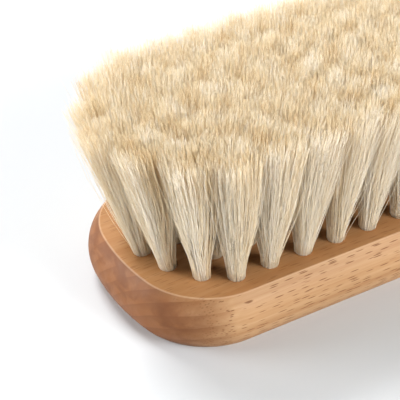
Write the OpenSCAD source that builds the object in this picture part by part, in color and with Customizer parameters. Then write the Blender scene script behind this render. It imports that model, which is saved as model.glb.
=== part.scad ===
// Body dry brush: a beech block with a bullnosed side, drilled with leaning blind holes.
// Each hole holds one tuft of natural bristle, folded over a flat wire anchor.
// Millimetres, +Z up. The origin is the centre of the block's underside, with the
// bristles up, the long rows along X and row 1 on the -Y side.

/* [Block] */
// Length of the plan outline, at the edge where the side meets the top
top_l = 116; // [114:1:124]
// Width of the plan outline
top_w = 52; // [51:1:56]
// Thickness of the block
block_h = 15; // [13:0.5:18]
// How far the side bulges out past the top edge at half height
bulge = 3; // [2:0.25:4]
// Radius of each end of the plan outline
end_r = 60; // [55:1:70]
// Radius of the plan outline's four corners
corner_r = 19; // [17:0.5:21]
// Radius to which the top and bottom edges are eased
ease_r = 0.6; // [0.3:0.1:1]

/* [Bristles] */
// Distance between neighbouring tufts in a row
pitch = 9.5; // [9:0.1:9.8]
// Distance between neighbouring rows
row_gap = 10; // [9.8:0.1:10.4]
// Tufts in the straight part of each outer row
row_count = 9; // [5:1:9]
// Height of the trimmed bristle tips above the block
bristle_h = 38.5; // [20:0.5:40]
// Diameter of a tuft where it leaves its hole
neck_d = 4; // [3.6:0.1:4]
// Diameter of a tuft at its trimmed tips
tip_d = 8.8; // [7:0.1:9]
// How far the tips of the end tufts lean outwards
end_lean = 8.5; // [6:0.5:9]
// How far the tips of the outer rows lean outwards
side_lean = 3.6; // [3:0.1:4]

/* [Holes and anchors] */
// Diameter of the drilled holes
hole_d = 4.1; // [4.05:0.05:4.3]
// Depth of the drilled holes along their axis
hole_depth = 8; // [7:0.5:9]
// Width of a flat wire anchor, a little more than its hole
anchor_w = 4.5; // [4.4:0.1:4.7]
// Height of a flat wire anchor
anchor_h = 2.2; // [1.8:0.1:2.6]
// Thickness of a flat wire anchor
anchor_t = 0.4; // [0.3:0.05:0.5]

/* [Hidden] */
$fn = 64;
ROWS = 5;
middle_row = (ROWS + 1) / 2;
eps = 0.01;
big = 200;

// The bullnosed side is one arc from the bottom edge to the top edge.
side_r = (block_h * block_h / 4 + bulge * bulge) / (2 * bulge);
// The eased edge is a small arc that runs into the side's arc at this angle above level.
ease_x = bulge - side_r + sqrt(pow(side_r - ease_r, 2) - pow(block_h / 2 - ease_r, 2));
ease_angle = acos((ease_x + side_r - bulge) / (side_r - ease_r));
// Steps along each arc of the block.
corner_steps = 11;
end_steps = 5;
side_steps = 10;
ease_steps = 2;
// Centres of the end arc and of the corner arc that runs into it, for the +X end.
end_x = top_l / 2 - end_r;
corner_y = top_w / 2 - corner_r;
blend_r = end_r - corner_r;
corner_x = end_x + sqrt(blend_r * blend_r - corner_y * corner_y);
blend_angle = asin(corner_y / blend_r);

// Where the rounded rows end, in pitches along X from the end of the straight part.
corner_step = 0.72;
second_step = 1.25;
middle_step = 1.5;
straight_x = (row_count - 1) / 2;
// How far the last tuft of each row is drawn in towards the middle row.
corner_draw_in = 4.4;
second_draw_in = 1.8;
// The lean grows from nothing at this distance from the centre, in pitches, to all of it.
lean_start = 2;
lean_power = 1.6;
lean_reach = straight_x + middle_step - lean_start;

// Height above the block at which a tuft starts to spread.
neck_h = 0.7;
// The spread is made this much longer than the trimmed tuft, and then cut flat.
untrimmed = 1.12;
spread_h = bristle_h - neck_h;
// Cone angle of the drill's point.
drill_angle = 118;
drill_tip = hole_d / 2 / tan(drill_angle / 2);
// The folded end of a tuft is round and rests on the cone that the drill leaves.
fold_z = neck_d / 2 / sin(drill_angle / 2) - drill_tip + 0.05;
// The anchor sits on the fold, this far above the hole's full-diameter end.
anchor_z = fold_z + 0.4;

function tufts_in(row) = row == middle_row ? row_count + 3 : row_count + 2;
function from_middle(row) = row - middle_row;

// Position along X in pitches of tuft number place in a row.
function plain_place(row, place) = place - (tufts_in(row) + 1) / 2;
function last_step(row) = abs(from_middle(row)) == 2 ? corner_step : second_step;
function step_x(row, place) =
    let (u = plain_place(row, place))
    row == middle_row || abs(u) <= straight_x ? u : sign(u) * (straight_x + last_step(row));
function is_last(row, place) = abs(plain_place(row, place)) > straight_x;
function draw_in(row, place) =
    !is_last(row, place) ? 0 : abs(from_middle(row)) == 2 ? corner_draw_in : second_draw_in;

// Where a tuft leaves the top face.
function tuft_x(row, place) = pitch * step_x(row, place);
function tuft_y(row, place) =
    row == middle_row ? 0 : sign(from_middle(row)) * (abs(from_middle(row)) * row_gap - draw_in(row, place));

// How far its tips lean out along X and Y at the trimmed height.
function lean_x(row, place) =
    let (u = step_x(row, place))
    let (part = max(0, abs(u) - lean_start) / lean_reach)
    sign(u) * end_lean * pow(part, lean_power);
function lean_y(row, place) = side_lean * tuft_y(row, place) / (2 * row_gap);

function tuft_name(row, place) = str("tuft_row", row, "_", place < 10 ? "0" : "", place);

TUFT_NODES = [for (row = [1:ROWS]) for (place = [1:tufts_in(row)]) tuft_name(row, place)];

// Puts a child at a tuft's hole mouth with Z along the hole, pointing out of it.
module at_tuft(row, place) {
    lean = [lean_x(row, place), lean_y(row, place)];
    tilt = atan(norm(lean) / bristle_h);
    heading = atan2(lean[1], lean[0]);
    translate([tuft_x(row, place), tuft_y(row, place), block_h])
        rotate([0, 0, heading])
            rotate([0, tilt, 0])
                rotate([0, 0, -heading])
                    children();
}

module each_tuft() {
    for (row = [1:ROWS]) {
        for (place = [1:tufts_in(row)]) {
            at_tuft(row, place) children();
        }
    }
}

function arc(centre, radius, from, to, steps) =
    [for (i = [0:steps]) centre + radius * [cos(from + (to - from) * i / steps), sin(from + (to - from) * i / steps)]];
function inner(points) = [for (i = [1:len(points) - 2]) points[i]];

// The +X half of the plan outline, counterclockwise, grown by distance grow.
function half_outline(grow) = concat(
    arc([corner_x, -corner_y], corner_r + grow, -90, -blend_angle, corner_steps),
    inner(arc([end_x, 0], end_r + grow, -blend_angle, blend_angle, end_steps)),
    arc([corner_x, corner_y], corner_r + grow, blend_angle, 90, corner_steps)
);
function outline(grow) = concat(half_outline(grow), [for (p = half_outline(grow)) -p]);

// The rim's cross-section from the underside up, as [distance past the outline, height].
rim_profile = concat(
    arc([ease_x, ease_r], ease_r, -90, -ease_angle, ease_steps),
    inner(arc([bulge - side_r, block_h / 2], side_r, -ease_angle, ease_angle, side_steps)),
    arc([ease_x, block_h - ease_r], ease_r, ease_angle, 90, ease_steps)
);

// The block before drilling: the outline swept up the rim's cross-section.
module block_body() {
    rings = [for (p = rim_profile) outline(p[0])];
    count = len(rings[0]);
    levels = len(rings);
    points = [for (j = [0:levels - 1]) for (p = rings[j]) [p[0], p[1], rim_profile[j][1]]];
    walls = [
        for (j = [0:levels - 2]) for (i = [0:count - 1])
            let (near = j * count, far = near + count, next = (i + 1) % count)
            each [[near + i, far + i, far + next], [near + i, far + next, near + next]]
    ];
    underside = [for (i = [0:count - 1]) i];
    top = [for (i = [0:count - 1]) levels * count - 1 - i];
    polyhedron(points, concat(walls, [underside, top]));
}

// A drilled blind hole, open past the top face.
module hole() {
    translate([0, 0, -hole_depth]) cylinder(d = hole_d, h = hole_depth + 2);
    translate([0, 0, -hole_depth - drill_tip]) cylinder(d1 = 0, d2 = hole_d, h = drill_tip + eps);
}

// A piece of flat wire across the hole, which bites into its wall at both ends.
module anchor() {
    translate([-anchor_w / 2, -anchor_t / 2, anchor_z - hole_depth])
        cube([anchor_w, anchor_t, anchor_h]);
}

module block() {
    color([0.85, 0.66, 0.47])
        difference() {
            block_body();
            each_tuft() hole();
            each_tuft() anchor();
        }
}

module anchors() {
    color([0.72, 0.72, 0.70])
        each_tuft() anchor();
}

// One bundle of bristle: its folded root round the anchor, its neck and its spread.
module bundle() {
    difference() {
        union() {
            translate([0, 0, fold_z - hole_depth]) sphere(d = neck_d);
            translate([0, 0, fold_z - hole_depth])
                cylinder(d = neck_d, h = hole_depth - fold_z + neck_h);
            translate([0, 0, neck_h])
                cylinder(d1 = neck_d, d2 = neck_d + (tip_d - neck_d) * untrimmed, h = spread_h * untrimmed);
        }
        anchor();
    }
}

module tuft(row, place) {
    color([0.88, 0.80, 0.66])
        intersection() {
            at_tuft(row, place) bundle();
            translate([-big / 2, -big / 2, 0]) cube([big, big, block_h + bristle_h]);
        }
}

block();
anchors();
for (row = [1:ROWS]) {
    for (place = [1:tufts_in(row)]) {
        tuft(row, place);
    }
}
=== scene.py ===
"""Body dry brush: a beech block with flared tufts of pale natural bristle."""

import math

import bmesh
import bpy
import numpy as np
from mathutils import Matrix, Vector


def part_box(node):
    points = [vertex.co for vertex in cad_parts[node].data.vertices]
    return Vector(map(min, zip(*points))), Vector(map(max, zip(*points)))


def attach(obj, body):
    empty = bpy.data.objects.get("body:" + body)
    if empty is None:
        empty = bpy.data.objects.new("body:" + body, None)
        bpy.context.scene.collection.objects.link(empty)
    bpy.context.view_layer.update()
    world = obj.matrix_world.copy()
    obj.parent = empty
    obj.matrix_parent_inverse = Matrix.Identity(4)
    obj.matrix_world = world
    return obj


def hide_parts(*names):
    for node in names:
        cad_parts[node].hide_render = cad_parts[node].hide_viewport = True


MM = 0.001
SEED = 41

# The block's plan outline and rim, as in its CAD node but with finer steps along each arc.
# Edges that turn by more than SHARP_ANGLE degrees stay sharp in its shading.
EDGE_LENGTH = 116 * MM
EDGE_WIDTH = 52 * MM
END_RADIUS = 60 * MM
CORNER_RADIUS = 19 * MM
EASE_RADIUS = 0.6 * MM
CORNER_STEPS = 26
END_STEPS = 12
STRAIGHT_POINTS = 14
EASE_STEPS = 5
BULGE_STEPS = 28
SHARP_ANGLE = 50

# The holes: less deep than in CAD, since their tufts hide the rest.
HOLE_RADIUS = 2.05 * MM
HOLE_DEPTH = 6 * MM
HOLE_SIDES = 28
DRILL_PAST = 2 * MM

# In a tuft's CAD solid, the flare starts at NECK_HEIGHT above the block. Vertices within
# NECK_BAND of that height are its neck, and those within TIP_BAND of the top are its tips.
NECK_HEIGHT = 0.7 * MM
NECK_BAND = 0.6 * MM
TIP_BAND = 0.01 * MM

# The trimmed top: straight along the sides, and closed by a rounded end past each TOP_STRAIGHT.
TOP_STRAIGHT = 35.3 * MM
TOP_END = 33 * MM
TOP_HALF_WIDTH = 30 * MM
TOP_ROUNDNESS = 2.35
# Within OUT_REACH of its outline, hair tips keep inside an ellipse round their tuft's tip, which
# reaches OUT_REACH along the tuft's lean and SIDE_REACH across it.
OUT_REACH = 6.6 * MM
SIDE_REACH = 5.5 * MM
# Hairs get paler, as painted light on the outer hairs, and stray more from RIM_WIDTH inside the
# outline on, and do so in full where past_top is RIM_FADE.
RIM_WIDTH = 4.5 * MM
RIM_FADE = 0.2

# Hair tips stand on a grid of TIP_GAP, moved by up to TIP_SCATTER of it, and change tufts
# within about BORDER_BLUR of a border. Hairs reach out OVERLAP times as far as their places,
# and by a further share of OVERSHOOT on average, so that neighbouring tufts cross.
TIP_GAP = 0.32 * MM
TIP_SCATTER = 0.6
BORDER_BLUR = 0.6 * MM
OVERLAP = 1.06
OVERSHOOT = 0.06

# Where hairs leave the hole: the outermost nearest its wall, with some mixing. The mixing of
# angles is in radians.
MOUTH_RADIUS = 2.03 * MM
RANK_MIXING = (0.75, 1.25)
ANGLE_MIXING = 0.55

# A hair is a tube with points at STEPS of its height, of which the first is inside the hole.
STEPS = np.array([-0.04, 0.06, 0.18, 0.32, 0.48, 0.68, 0.86, 1.0])
SIDES = 3
HAIR_RADIUS = 0.053 * MM
THICKNESS = (0.8, 1.2)
TIP_TAPER = 0.45
# Across the tuft's lean, a hair is SPREAD_SHARE of the way out at SPREAD_RISE of its height.
SPREAD_RISE = (0.0, 0.07, 0.18, 0.35, 0.52, 0.75, 1.0)
SPREAD_SHARE = (0.0, 0.06, 0.19, 0.48, 0.73, 0.92, 1.0)

# Where hairs end, as shares of the tuft's height: about TRIM, rippled by TRIM_RIPPLE, and lower
# by TRIM_DROP at OUT_REACH from the tuft's axis. SHORT_SHARE of them are shorter by SHORT_BY.
TRIM = 1.012
TRIM_SCATTER = 0.006
TRIM_RIPPLE = 0.007
TRIM_DROP = 0.02
SHORT_SHARE = 0.10
SHORT_BY = (0.01, 0.08)

# How far hairs wander, in millimetres. A share of them strays, and a larger one at the rim.
STRAY_SHARE = 0.07
RIM_STRAY_SHARE = 0.10
STRAY_MM = 1.5
STRAY_BOW_MM = 0.8
SIDEWAYS_MM = 0.25
SIDEWAYS_POWER = 1.4
# Tips are combed together in patches, from COMB_START of the height on.
COMB_MM = 0.35
COMB_SCATTER_MM = 0.5
COMB_START = 0.7
COMB_SPAN = 0.3
COMB_POWER = 1.5
WAVE_MM = 0.24
WAVE_TURN = 8

# A hair's tone, from 0, dark, to 1, pale: a beta distribution, with patches, and a paler rim as
# painted light on the outer hairs.
TONE_SHAPE = (2.4, 2.0)
PATCH_TONE = 0.14
RIM_PAINTED_LIGHT = 0.17

# Lengths of the ripples over the top that lift the trim, comb the tips along X and along Y,
# and change the tone, in millimetres, and the number of waves that make up each.
RIPPLE_LENGTHS_MM = (6, 7, 7, 9)
RIPPLE_WAVES = 28
RIPPLE_LENGTH_SPREAD = (0.7, 1.5)


def arc(centre, radius, start, end, steps):
    """Points along an arc in a plane; angles in degrees."""
    angles = np.radians(np.linspace(start, end, steps + 1))
    return np.c_[centre[0] + radius * np.cos(angles), centre[1] + radius * np.sin(angles)]


def add_object(name, data):
    """A new object in the scene."""
    made = bpy.data.objects.new(name, data)
    bpy.context.scene.collection.objects.link(made)
    return made


def mesh_object(name, points, faces, smooth=True):
    """A new object from points and faces."""
    mesh = bpy.data.meshes.new(name)
    mesh.from_pydata([tuple(p) for p in points], [], faces)
    mesh.validate()
    mesh.update()
    if smooth:
        mesh.shade_smooth()
    return add_object(name, mesh)


# ---------------------------------------------------------------- materials


def set_inputs(node, values):
    """Sets a node's own sockets by name."""
    for key, value in values.items():
        node.inputs[key].default_value = value


class Nodes:
    """A short way to build a material's node tree."""

    def __init__(self, name):
        self.material = bpy.data.materials.new(name)
        self.material.use_nodes = True
        self.tree = self.material.node_tree
        self.shader = self.tree.nodes["Principled BSDF"]

    def add(self, kind, **settings):
        """A new node, with its sockets and properties set by name."""
        node = self.tree.nodes.new(kind)
        for key, value in settings.items():
            if key in node.inputs:
                node.inputs[key].default_value = value
            else:
                setattr(node, key, value)
        return node

    def link(self, source, target):
        self.tree.links.new(source, target)

    def shade(self, source, key):
        """Links a value to one of the shader's sockets."""
        self.link(source, self.shader.inputs[key])

    def attribute(self, name):
        """A number kept at each point of the mesh."""
        return self.add("ShaderNodeAttribute", attribute_name=name).outputs["Fac"]

    def split(self, vector):
        """A vector's X, Y and Z."""
        node = self.add("ShaderNodeSeparateXYZ")
        self.link(vector, node.inputs["Vector"])
        return node.outputs

    def mapping(self, source, scale, location=(0, 0, 0), rotation=(0, 0, 0)):
        node = self.add("ShaderNodeMapping")
        set_inputs(node, {"Scale": scale, "Location": location, "Rotation": rotation})
        self.link(source, node.inputs["Vector"])
        return node.outputs["Vector"]

    def noise(self, vector, detail, roughness, distortion=0.0):
        """Noise whose cells are 1 unit of the vector across."""
        node = self.add("ShaderNodeTexNoise", Scale=1.0, Detail=detail, Roughness=roughness)
        node.inputs["Distortion"].default_value = distortion
        self.link(vector, node.inputs["Vector"])
        return node.outputs["Fac"]

    def ramp(self, value, stops):
        """A colour that runs straight from stop to stop as the value rises."""
        node = self.add("ShaderNodeValToRGB")
        while len(node.color_ramp.elements) < len(stops):
            node.color_ramp.elements.new(0.5)
        for element, (place, colour) in zip(node.color_ramp.elements, stops):
            element.position = place
            element.color = (*colour, 1)
        self.link(value, node.inputs["Fac"])
        return node.outputs["Color"]

    def grey(self, value, low, high, at_low=0.0, at_high=1.0):
        """A number that goes from at_low to at_high as the value goes from low to high."""
        node = self.add("ShaderNodeMapRange", clamp=True)
        set_inputs(node, {"From Min": low, "From Max": high, "To Min": at_low, "To Max": at_high})
        self.link(value, node.inputs["Value"])
        return node.outputs["Result"]

    def math(self, operation, a, b=None):
        """The result of an operation on sockets or numbers; b is left out where it takes one."""
        node = self.add("ShaderNodeMath", operation=operation)
        for socket, value in zip(node.inputs, (a, b)):
            if value is None:
                continue
            if isinstance(value, (int, float)):
                socket.default_value = value
            else:
                self.link(value, socket)
        return node.outputs["Value"]

    def times(self, a, b):
        return self.math("MULTIPLY", a, b)

    def mix(self, factor, a, b, blend="MIX"):
        """Colour a with colour b laid over it; each is a socket, a number or a colour."""
        node = self.add("ShaderNodeMix", data_type="RGBA", blend_type=blend)
        sockets = [s for s in node.inputs if s.enabled]
        for socket, value in zip(sockets, (factor, a, b)):
            if isinstance(value, (int, float)):
                socket.default_value = value
            elif isinstance(value, tuple):
                socket.default_value = (*value, 1)
            else:
                self.link(value, socket)
        return [s for s in node.outputs if s.enabled][0]

    def bump(self, height, strength, distance):
        node = self.add("ShaderNodeBump", Strength=strength, Distance=distance)
        self.link(height, node.inputs["Height"])
        self.shade(node.outputs["Normal"], "Normal")


# Cells of the beech's patterns per metre: long along X, the grain, and thin across it.
STREAK_CELLS = (14, 420, 420)
FINE_CELLS = (60, 2600, 2600)
PATCH_CELLS = (16, 40, 60)
FLECK_CELLS = (230, 2400, 2400)
BLOTCH_CELLS = (60, 120, 190)

STREAK_COLOURS = [
    (0.25, (0.36, 0.187, 0.084)),
    (0.5, (0.45, 0.267, 0.13)),
    (0.75, (0.53, 0.342, 0.182)),
]
FINE_COLOUR = (0.33, 0.13, 0.042)
PATCH_COLOUR = (0.58, 0.30, 0.135)
BAND_COLOUR = (0.33, 0.135, 0.045)
END_COLOUR = (0.20, 0.062, 0.012)
BLOTCH_COLOUR = (0.13, 0.04, 0.010)
# Painted shade on the top face, under the tufts.
TOP_SHADE_COLOUR = (0.42, 0.17, 0.045)
RING_COLOUR = (0.17, 0.06, 0.018)
FLECK_COLOUR = (0.17, 0.062, 0.022)
# The painted highlight along the eased top edge.
EDGE_HIGHLIGHT_COLOUR = (0.74, 0.50, 0.32)

# Heights between which the painted highlight along the block's eased top edge starts to show.
EDGE_HIGHLIGHT_LEVELS = (14.68 * MM, 14.8 * MM)


def growth_bands(n, place):
    """Growth rings round a line along the block, which lies below it and in front of it."""
    bands = n.add("ShaderNodeTexWave", wave_type="RINGS", rings_direction="X", wave_profile="SAW")
    set_inputs(bands, {"Scale": 95, "Distortion": 4.5, "Detail": 2, "Detail Scale": 0.35})
    centred = n.mapping(place, (0.25, 1, 1), (0, 0.035, 0.03), (0, 0.05, 0.03))
    n.link(centred, bands.inputs["Vector"])
    return bands.outputs["Fac"]


def wood_flecks(n, place, facing):
    """Short dark flecks in some of the cells, strongest on the long sides."""
    cells = n.add("ShaderNodeTexVoronoi", feature="F1", Scale=1.0, Randomness=1.0)
    n.link(n.mapping(place, FLECK_CELLS), cells.inputs["Vector"])
    chosen = n.add("ShaderNodeSeparateColor")
    n.link(cells.outputs["Color"], chosen.inputs["Color"])
    present = n.grey(chosen.outputs["Red"], 0.38, 0.42)
    core = n.grey(cells.outputs["Distance"], 0.22, 0.36, 1.0, 0.0)
    along_grain = n.grey(n.math("ABSOLUTE", facing["X"]), 0.25, 0.75, 1.0, 0.12)
    side_on = n.grey(facing["Z"], 0.6, 0.95, 1.0, 0.45)
    return n.times(n.times(n.times(core, present), along_grain), side_on)


def long_grain(n, place, streaks, fine, bands):
    """The wood's colour along the grain: streaks, fine lines, warm patches and growth bands."""
    patches = n.noise(n.mapping(place, PATCH_CELLS), 2, 0.5)
    base = n.ramp(streaks, STREAK_COLOURS)
    base = n.mix(n.grey(fine, 0.35, 0.7, 0.0, 0.22), base, FINE_COLOUR)
    base = n.mix(n.grey(patches, 0.4, 0.75, 0.0, 0.30), base, PATCH_COLOUR)
    return n.mix(n.grey(bands, 0.7, 1.0, 0.0, 0.28), base, BAND_COLOUR)


def end_grain_and_top_shade(n, base, place, facing, bands):
    """Darker end grain with blotches and growth rings, and painted shade on the top face, darker and
    redder where the tufts hang over it.
    """
    end_grain = n.grey(n.math("ABSOLUTE", facing["X"]), 0.2, 0.75)
    base = n.mix(n.times(end_grain, 0.85), base, END_COLOUR)
    blotches = n.noise(n.mapping(place, BLOTCH_CELLS), 3, 0.55, 0.8)
    blotches = n.grey(blotches, 0.45, 0.62, 0.0, 0.6)
    base = n.mix(n.times(end_grain, blotches), base, BLOTCH_COLOUR)
    painted_top_shade = n.grey(facing["Z"], 0.93, 0.99)
    base = n.mix(n.times(painted_top_shade, 0.45), base, TOP_SHADE_COLOUR)
    rings = n.grey(bands, 0.35, 0.95, 0.0, 0.55)
    return n.mix(n.times(end_grain, rings), base, RING_COLOUR)


def painted_edge_highlight(n, base, place, facing):
    """A painted highlight: a paler line along the eased top edge."""
    near_top = n.grey(n.split(place)["Z"], *EDGE_HIGHLIGHT_LEVELS)
    tilted = n.grey(facing["Z"], 0.98, 0.93)
    return n.mix(n.times(n.times(near_top, tilted), 0.28), base, EDGE_HIGHLIGHT_COLOUR)


def beech():
    """Sanded beech, with its grain along X."""
    n = Nodes("beech")
    geometry = n.add("ShaderNodeNewGeometry").outputs
    place = geometry["Position"]
    facing = n.split(geometry["Normal"])
    streaks = n.noise(n.mapping(place, STREAK_CELLS), 5, 0.6)
    fine = n.noise(n.mapping(place, FINE_CELLS), 3, 0.6)
    bands = growth_bands(n, place)
    flecks = wood_flecks(n, place, facing)

    base = long_grain(n, place, streaks, fine, bands)
    base = end_grain_and_top_shade(n, base, place, facing, bands)
    base = n.mix(n.times(flecks, 0.85), base, FLECK_COLOUR)
    base = painted_edge_highlight(n, base, place, facing)
    n.shade(base, "Base Color")

    rough = n.grey(streaks, 0.3, 0.7, 0.6, 0.5)
    n.shade(n.math("ADD", rough, n.times(flecks, 0.2)), "Roughness")
    height = n.math("SUBTRACT", n.times(fine, 0.25), flecks)
    n.bump(height, 0.25, 0.05 * MM)
    set_inputs(n.shader, {"Specular IOR Level": 0.28})
    return n.material


# The bristle's colour from the hole to the tip, golden and darker near the top as painted shade
# among the hairs, and what that is multiplied by, by tone.
ALONG_AND_SHADE_COLOURS = [
    (0.0, (0.94, 0.75, 0.48)),
    (0.16, (0.98, 0.815, 0.575)),
    (0.60, (0.98, 0.825, 0.585)),
    (0.82, (0.90, 0.70, 0.42)),
    (1.0, (0.83, 0.70, 0.49)),
]
TONE_COLOURS = [
    (0.0, (0.66, 0.51, 0.35)),
    (0.25, (0.91, 0.84, 0.73)),
    (0.6, (1.0, 1.0, 1.0)),
]
# The outer hairs' colour, kept free of the painted shade of the inner ones.
RIM_COLOUR = (0.93, 0.795, 0.58)
WHITE_HAIR_COLOUR = (0.98, 0.92, 0.81)


def bristle():
    """Pale hair, each its own tone: golden under and at the trimmed tips as painted shade among the
    hairs, and even and paler at the rim as painted light on the outer hairs.
    """
    n = Nodes("bristle")
    tone = n.attribute("tone")
    along = n.ramp(n.attribute("rise"), ALONG_AND_SHADE_COLOURS)
    along = n.mix(n.times(n.attribute("rim"), 0.85), along, RIM_COLOUR)
    colour = n.mix(1.0, along, n.ramp(tone, TONE_COLOURS), "MULTIPLY")
    colour = n.mix(n.grey(tone, 0.65, 0.9, 0.0, 0.6), colour, WHITE_HAIR_COLOUR)
    n.shade(colour, "Base Color")
    look = {
        "Roughness": 0.45,
        "Specular IOR Level": 0.25,
        "Subsurface Weight": 0.15,
        "Subsurface Radius": (1.0, 0.85, 0.6),
        "Subsurface Scale": 0.15 * MM,
        "Sheen Weight": 0.6,
        "Sheen Roughness": 0.5,
        "Sheen Tint": (1.0, 0.9, 0.72, 1),
    }
    set_inputs(n.shader, look)
    return n.material


WIRE_LINE_CELLS = (200, 9000, 9000)
WIRE_COLOURS = [(0.3, (0.42, 0.41, 0.39)), (0.7, (0.62, 0.61, 0.58))]


def flat_wire():
    """Drawn steel wire with fine lines along it."""
    n = Nodes("flat_wire")
    place = n.add("ShaderNodeNewGeometry").outputs["Position"]
    lines = n.noise(n.mapping(place, WIRE_LINE_CELLS), 3, 0.6)
    n.shade(n.ramp(lines, WIRE_COLOURS), "Base Color")
    n.shade(n.grey(lines, 0.3, 0.7, 0.28, 0.5), "Roughness")
    set_inputs(n.shader, {"Metallic": 1.0})
    return n.material


# The paper's colour near the brush, painted darker to deepen its shadow, and far from it, painted
# lighter where the lamps light it less, and the distances between which it changes.
PAPER_NEAR = (0.67, 0.69, 0.71)
PAPER_FAR = (0.97, 0.97, 0.97)
PAPER_FADE = (0.25, 0.9)


def paper_white():
    """Matt paper, painted darker round the brush so that its shadow shows, and painted lighter far
    from it, where the lamps light it less.
    """
    n = Nodes("paper_white")
    distance = n.add("ShaderNodeVectorMath", operation="LENGTH")
    n.link(n.add("ShaderNodeNewGeometry").outputs["Position"], distance.inputs["Vector"])
    far = n.grey(distance.outputs["Value"], *PAPER_FADE)
    n.shade(n.mix(far, PAPER_NEAR, PAPER_FAR), "Base Color")
    set_inputs(n.shader, {"Roughness": 0.9, "Specular IOR Level": 0.0})
    return n.material


# ---------------------------------------------------------------- block


def rim_profile(height, bulge):
    """The rim's cross-section from the underside up: distance past the outline, and height."""
    side = (height**2 / 4 + bulge**2) / (2 * bulge)
    ease_x = bulge - side + math.sqrt((side - EASE_RADIUS) ** 2 - (height / 2 - EASE_RADIUS) ** 2)
    turn = math.degrees(math.acos((ease_x + side - bulge) / (side - EASE_RADIUS)))
    return np.concatenate(
        [
            arc((ease_x, EASE_RADIUS), EASE_RADIUS, -90, -turn, EASE_STEPS),
            arc((bulge - side, height / 2), side, -turn, turn, BULGE_STEPS)[1:-1],
            arc((ease_x, height - EASE_RADIUS), EASE_RADIUS, turn, 90, EASE_STEPS),
        ]
    )


def outline(grow):
    """The block's plan outline, counterclockwise, grown by a distance."""
    end_x = EDGE_LENGTH / 2 - END_RADIUS
    corner_y = EDGE_WIDTH / 2 - CORNER_RADIUS
    blend = END_RADIUS - CORNER_RADIUS
    corner_x = end_x + math.sqrt(blend**2 - corner_y**2)
    turn = math.degrees(math.asin(corner_y / blend))
    straight_x = np.linspace(corner_x, -corner_x, STRAIGHT_POINTS)
    half = np.concatenate(
        [
            arc((corner_x, -corner_y), CORNER_RADIUS + grow, -90, -turn, CORNER_STEPS),
            arc((end_x, 0), END_RADIUS + grow, -turn, turn, END_STEPS)[1:-1],
            arc((corner_x, corner_y), CORNER_RADIUS + grow, turn, 90, CORNER_STEPS),
            np.c_[straight_x, np.full(STRAIGHT_POINTS, EDGE_WIDTH / 2 + grow)][1:-1],
        ]
    )
    return np.concatenate([half, -half])


def ring_faces(levels, count):
    """Faces between rings of points, one above the other, and over the lowest and the highest."""
    faces = []
    for j in range(levels - 1):
        for i in range(count):
            k = (i + 1) % count
            faces.append((j * count + i, j * count + k, (j + 1) * count + k, (j + 1) * count + i))
    faces.append(tuple(reversed(range(count))))
    faces.append(tuple(range((levels - 1) * count, levels * count)))
    return faces


def make_block(tufts):
    """The beech block: its outline swept up the rim, then drilled for the tufts."""
    low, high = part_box("block")
    bulge = (high.y - low.y - EDGE_WIDTH) / 2
    profile = rim_profile(high.z - low.z, bulge)
    count = len(outline(0))
    rings = [np.c_[outline(grow), np.full(count, low.z + z)] for grow, z in profile]
    block = mesh_object("beech_block", np.concatenate(rings), ring_faces(len(rings), count))
    drill(block, tufts)
    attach(block, "root")
    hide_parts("block")
    block.data.materials.append(beech())


def drill_tool(tufts):
    """A cylinder along every tuft's own direction, from its hole's end to past the block's top."""
    cutter = bmesh.new()
    for mouth, tip in tufts.values():
        along = (tip - mouth).normalized()
        matrix = along.to_track_quat("Z", "Y").to_matrix().to_4x4()
        matrix.translation = mouth - along * (HOLE_DEPTH / 2 - DRILL_PAST / 2)
        bmesh.ops.create_cone(
            cutter,
            cap_ends=True,
            segments=HOLE_SIDES,
            radius1=HOLE_RADIUS,
            radius2=HOLE_RADIUS,
            depth=HOLE_DEPTH + DRILL_PAST,
            matrix=matrix,
        )
    mesh = bpy.data.meshes.new("drill")
    cutter.to_mesh(mesh)
    cutter.free()
    return add_object("drill", mesh)


def drill(block, tufts):
    """Cuts every tuft's blind hole, and keeps the block's flat faces flat in its shading."""
    tool = drill_tool(tufts)
    cut = block.modifiers.new("holes", "BOOLEAN")
    cut.operation = "DIFFERENCE"
    cut.solver = "EXACT"
    cut.object = tool
    bpy.context.view_layer.update()
    evaluated = block.evaluated_get(bpy.context.evaluated_depsgraph_get())
    drilled = bpy.data.meshes.new_from_object(evaluated)
    block.modifiers.clear()
    block.data = drilled
    bpy.data.objects.remove(tool)
    drilled.set_sharp_from_angle(angle=math.radians(SHARP_ANGLE))
    weights = block.modifiers.new("flat_top", "WEIGHTED_NORMAL")
    weights.keep_sharp = True


# ---------------------------------------------------------------- bristles


def tuft_line(node, top_of_block):
    """Where a tuft's axis leaves the block and where it ends, from its CAD solid."""
    points = np.array([v.co for v in node.data.vertices])
    top = points[points[:, 2] > points[:, 2].max() - TIP_BAND]
    neck = points[abs(points[:, 2] - top_of_block - NECK_HEIGHT) < NECK_BAND]
    tip = Vector((top.min(0) + top.max(0)) / 2)
    low = Vector((neck.min(0) + neck.max(0)) / 2)
    mouth = low + (tip - low) * ((top_of_block - low.z) / (tip.z - low.z))
    return mouth, tip


def past_top(places, margin):
    """Whether places lie past the trimmed top's outline, drawn in by a margin; below 0 inside."""
    past = np.maximum(abs(places[:, 0]) - TOP_STRAIGHT, 0) / (TOP_END - margin)
    across = abs(places[:, 1]) / (TOP_HALF_WIDTH - margin)
    return past**TOP_ROUNDNESS + across**TOP_ROUNDNESS - 1


def tip_places(rng):
    """Evenly scattered places for hair tips over the whole trimmed top."""
    reach = TOP_STRAIGHT + TOP_END
    x = np.arange(-reach, reach, TIP_GAP)
    y = np.arange(-TOP_HALF_WIDTH, TOP_HALF_WIDTH, TIP_GAP)
    places = np.stack(np.meshgrid(x, y), -1).reshape(-1, 2)
    places += rng.uniform(-TIP_SCATTER, TIP_SCATTER, places.shape) * TIP_GAP
    return places[past_top(places, 0) < 0]


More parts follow.
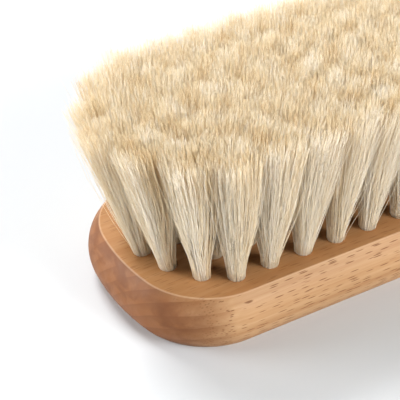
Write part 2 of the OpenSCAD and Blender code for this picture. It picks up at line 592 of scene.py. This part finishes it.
def share_out(places, lines, rng):
    """The tuft that each hair tip belongs to: the nearest, blurred at borders; -1 past its reach."""
    centres = np.array([tip.xy for mouth, tip in lines])
    outward = np.array([(tip - mouth).xy.normalized() for mouth, tip in lines])
    blurred = places + rng.normal(0, BORDER_BLUR, places.shape)
    owner = np.linalg.norm(blurred[:, None] - centres, axis=2).argmin(1)
    offset = blurred - centres[owner]
    along = (offset * outward[owner]).sum(1)
    sideways = offset[:, 0] * outward[owner, 1] - offset[:, 1] * outward[owner, 0]
    beyond = (along / OUT_REACH) ** 2 + (sideways / SIDE_REACH) ** 2 > 1
    owner[beyond & (past_top(blurred, OUT_REACH) > 0)] = -1
    return owner


class Ripple:
    """A smooth random field over the trimmed top, mostly within -2 to 2."""

    def __init__(self, rng, length):
        angle = rng.uniform(0, 2 * math.pi, RIPPLE_WAVES)
        size = 2 * math.pi / (length * rng.uniform(*RIPPLE_LENGTH_SPREAD, RIPPLE_WAVES))
        self.turns = np.stack([np.cos(angle) * size, np.sin(angle) * size])
        self.phase = rng.uniform(0, 2 * math.pi, RIPPLE_WAVES)

    def at(self, places):
        waves = np.sin(places @ self.turns + self.phase)
        return waves.sum(1) * math.sqrt(2 / RIPPLE_WAVES)


def hair_ends(foot, lean, places, rng):
    """Each hair's distance from the tuft's axis at its hole and at its tip, as vectors."""
    count = len(places)
    across = (places - foot - lean) * OVERLAP
    distance = np.linalg.norm(across, axis=1)
    across *= 1 + rng.exponential(OVERSHOOT, (count, 1))
    rank = (distance * rng.uniform(*RANK_MIXING, count)).argsort().argsort()
    angle = np.arctan2(across[:, 1], across[:, 0]) + rng.normal(0, ANGLE_MIXING, count)
    inner = MOUTH_RADIUS * np.sqrt((rank + 0.5) / count)
    start = np.c_[inner * np.cos(angle), inner * np.sin(angle)]
    return start, across, distance


def trimmed_heights(distance, lift, rng):
    """Where each hair ends, as a share of the tuft's height."""
    count = len(distance)
    drop = TRIM_DROP * (distance / OUT_REACH) ** 3
    trim = TRIM + rng.normal(0, TRIM_SCATTER, count) + TRIM_RIPPLE * lift - drop
    short = rng.random(count) < SHORT_SHARE
    trim[short] -= rng.uniform(*SHORT_BY, short.sum())
    return trim


class Wander:
    """How each hair leaves its own line: a few stray and bow, tips are combed, and all wave."""

    def __init__(self, rim, combing, rng):
        size = (len(rim), 2)
        stray = rng.random(len(rim)) < STRAY_SHARE + RIM_STRAY_SHARE * rim
        self.sideways = rng.normal(0, STRAY_MM, size) * MM * stray[:, None]
        self.sideways += rng.normal(0, SIDEWAYS_MM, size) * MM
        self.bow = rng.normal(0, STRAY_BOW_MM, size) * MM * stray[:, None]
        self.comb = combing * COMB_MM * MM + rng.normal(0, COMB_SCATTER_MM, size) * MM
        self.wave = rng.normal(0, WAVE_MM, size) * MM
        self.phase = rng.uniform(0, 2 * math.pi, len(rim))

    def add_to(self, offset, rise):
        """Adds the wander at a share of the tuft's height to the hairs' offsets."""
        up = np.clip(rise, 0, 1)
        combed = np.clip(rise - COMB_START, 0, 1) / COMB_SPAN
        waving = np.sin(self.phase + WAVE_TURN * rise) * np.clip(rise * 2, 0, 1)
        offset += self.sideways * up[:, None] ** SIDEWAYS_POWER
        offset += self.bow * np.sin(math.pi * up)[:, None]
        offset += self.comb * combed[:, None] ** COMB_POWER
        offset += self.wave * waving[:, None]


def hair_paths(mouth, tip, places, ripples, rng):
    """Each hair's points from inside the hole to its tip, its tone, and how far it is at the rim."""
    count = len(places)
    foot = np.array([mouth.x, mouth.y])
    lean = np.array([tip.x, tip.y]) - foot
    outward = np.array((tip - mouth).xy.normalized())
    lift, comb_x, comb_y, patch = (ripple.at(places) for ripple in ripples)
    rim = np.clip(past_top(places, RIM_WIDTH) / RIM_FADE, 0, 1)
    start, across, distance = hair_ends(foot, lean, places, rng)
    trim = trimmed_heights(distance, lift, rng)
    wander = Wander(rim, np.c_[comb_x, comb_y], rng)

    paths = np.zeros((count, len(STEPS), 3))
    for j, step in enumerate(STEPS):
        rise = step * trim if step > 0 else np.full(count, step)
        part = np.interp(rise, SPREAD_RISE, SPREAD_SHARE)[:, None]
        offset = start * (1 - part) + across * part
        # Along the tuft's lean, hairs fan out in straight lines instead.
        late = (across - start) @ outward * (np.clip(rise, 0, 1) - part[:, 0])
        offset += outward * late[:, None]
        wander.add_to(offset, rise)
        paths[:, j, :2] = foot + lean * rise[:, None] + offset
        paths[:, j, 2] = mouth.z + (tip.z - mouth.z) * rise
    tone = np.clip(rng.beta(*TONE_SHAPE, count) + PATCH_TONE * patch + RIM_PAINTED_LIGHT * rim, 0, 1)
    return paths, tone, rim


def tube_points(paths, rng):
    """A ring of points round each point of the paths, thinner towards the tip."""
    hairs = len(paths)
    turn = rng.uniform(0, 2 * math.pi, (hairs, 1, 1)) + np.arange(SIDES) * 2 * math.pi / SIDES
    size = rng.uniform(*THICKNESS, (hairs, 1, 1)) * HAIR_RADIUS
    taper = 1 - TIP_TAPER * np.clip(STEPS, 0, 1)[None, :, None]
    points = np.repeat(paths[:, :, None, :], SIDES, axis=2)
    points[..., 0] += size * taper * np.cos(turn)
    points[..., 1] += size * taper * np.sin(turn)
    return points


def tube_faces(hairs, steps):
    """The four-cornered sides of all the tubes, and the caps that close them."""
    ring = np.arange(SIDES)
    near = (np.arange(steps - 1) * SIDES)[:, None] + ring
    far = near + SIDES
    to_next = (ring + 1) % SIDES - ring
    quads = np.stack([near, near + to_next, far + to_next, far], -1).reshape(-1, 4)
    caps = np.array([ring[::-1], ring + (steps - 1) * SIDES])
    first_points = (np.arange(hairs) * steps * SIDES)[:, None, None]
    return (quads + first_points).reshape(-1, 4), (caps + first_points).reshape(-1, SIDES)


def hair_mesh(name, paths, tone, rim, rng):
    """Closed tubes along the paths, with each point's height share, tone and place at the rim."""
    hairs, steps = paths.shape[:2]
    points = tube_points(paths, rng)
    quads, caps = tube_faces(hairs, steps)
    quad_starts = np.arange(len(quads)) * 4
    cap_starts = quads.size + np.arange(len(caps)) * SIDES

    mesh = bpy.data.meshes.new(name)
    mesh.vertices.add(hairs * steps * SIDES)
    mesh.vertices.foreach_set("co", points.reshape(-1))
    mesh.loops.add(quads.size + caps.size)
    mesh.loops.foreach_set("vertex_index", np.concatenate([quads.ravel(), caps.ravel()]))
    mesh.polygons.add(len(quads) + len(caps))
    mesh.polygons.foreach_set("loop_start", np.concatenate([quad_starts, cap_starts]))
    mesh.update(calc_edges=True)
    mesh.shade_smooth()
    facts = {"rise": STEPS[None, :, None], "tone": tone[:, None, None], "rim": rim[:, None, None]}
    for label, values in facts.items():
        at_points = np.broadcast_to(values, (hairs, steps, SIDES)).astype(np.float32)
        attribute = mesh.attributes.new(label, "FLOAT", "POINT")
        attribute.data.foreach_set("value", at_points.ravel())
    return mesh


def make_tufts(tufts):
    """One piece of hair for every tuft."""
    material = bristle()
    names = sorted(tufts)
    scatter = np.random.default_rng(SEED)
    places = tip_places(scatter)
    owner = share_out(places, [tufts[n] for n in names], scatter)
    ripples = [Ripple(scatter, length * MM) for length in RIPPLE_LENGTHS_MM]
    for number, name in enumerate(names):
        rng = np.random.default_rng(SEED + 1 + number)
        mouth, tip = tufts[name]
        paths, tone, rim = hair_paths(mouth, tip, places[owner == number], ripples, rng)
        mesh = hair_mesh(name.replace("tuft", "bristles"), paths, tone, rim, rng)
        mesh.materials.append(material)
        piece = add_object(mesh.name, mesh)
        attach(piece, "root")
        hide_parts(name)


# ---------------------------------------------------------------- anchors


def finish_anchors(anchors):
    """The CAD node of the wire anchors keeps its shape and gets its material."""
    anchors.data.materials.clear()
    anchors.data.materials.append(flat_wire())


# ---------------------------------------------------------------- setting

FLOOR_REACH = 1
LAMP_TARGET = (0, 0, 0.03)
# The lamps: name, place, size and power in watts.
LAMPS = [
    ("back_key", (-0.08, 0.60, 0.94), (0.45, 0.4), 12.5),
    ("front_fill", (0.52, -0.97, 0.48), (0.6, 0.6), 17),
    ("left_rim", (-0.9, 0.6, 0.35), (0.6, 0.6), 12),
    ("left_fill", (-0.95, -0.55, 0.3), (0.5, 0.5), 3),
]

# The camera's angles are in degrees, and its lens and sensor in millimetres.
CAMERA_PLACE = (-0.2121, -0.2886, 0.2715)
CAMERA_LOOKS_DOWN = 36.2
CAMERA_TURN = -31.41
CAMERA_LENS = 156.2
CAMERA_SENSOR = 36


def make_floor():
    corners = [(-1, -1, 0), (1, -1, 0), (1, 1, 0), (-1, 1, 0)]
    points = [(x * FLOOR_REACH, y * FLOOR_REACH, z) for x, y, z in corners]
    floor = mesh_object("floor", points, [(0, 1, 2, 3)], smooth=False)
    floor.data.materials.append(paper_white())


def softbox(name, place, size, power):
    """A rectangular lamp that faces the brush."""
    light = bpy.data.lights.new(name, "AREA")
    light.shape = "RECTANGLE"
    light.size, light.size_y = size
    light.energy = power
    lamp = add_object(name, light)
    lamp.location = place
    facing = Vector(LAMP_TARGET) - Vector(place)
    lamp.rotation_euler = facing.to_track_quat("-Z", "Y").to_euler()


def make_room():
    """A white room that is bright low down and dim above."""
    world = bpy.data.worlds.new("studio")
    bpy.context.scene.world = world
    world.use_nodes = True
    nodes = world.node_tree.nodes
    links = world.node_tree.links
    direction = nodes.new("ShaderNodeTexCoord")
    parts = nodes.new("ShaderNodeSeparateXYZ")
    glow = nodes.new("ShaderNodeMapRange")
    set_inputs(glow, {"From Min": 0.07, "From Max": 0.16, "To Min": 1.0, "To Max": 0.1})
    links.new(direction.outputs["Generated"], parts.inputs["Vector"])
    links.new(parts.outputs["Z"], glow.inputs["Value"])
    links.new(glow.outputs["Result"], nodes["Background"].inputs["Strength"])
    set_inputs(nodes["Background"], {"Color": (1, 1, 1, 1)})


def make_camera():
    data = bpy.data.cameras.new("camera")
    data.lens = CAMERA_LENS
    data.sensor_width = CAMERA_SENSOR
    camera = add_object("camera", data)
    camera.location = CAMERA_PLACE
    camera.rotation_euler = (math.radians(90 - CAMERA_LOOKS_DOWN), 0, math.radians(CAMERA_TURN))
    bpy.context.scene.camera = camera


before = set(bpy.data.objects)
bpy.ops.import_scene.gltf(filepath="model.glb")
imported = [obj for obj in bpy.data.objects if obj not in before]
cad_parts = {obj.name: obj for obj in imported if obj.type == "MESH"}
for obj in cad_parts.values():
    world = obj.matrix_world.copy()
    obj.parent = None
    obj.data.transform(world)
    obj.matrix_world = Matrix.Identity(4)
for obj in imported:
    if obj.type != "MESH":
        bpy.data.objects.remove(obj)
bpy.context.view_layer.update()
block_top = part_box("block")[1].z
tuft_nodes = {name: node for name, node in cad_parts.items() if name.startswith("tuft_")}
tuft_lines = {name: tuft_line(node, block_top) for name, node in tuft_nodes.items()}

bpy.context.scene.view_settings.view_transform = "Standard"
make_camera()
make_room()
for lamp in LAMPS:
    softbox(*lamp)
make_floor()
make_block(tuft_lines)
make_tufts(tuft_lines)
finish_anchors(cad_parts["anchors"])
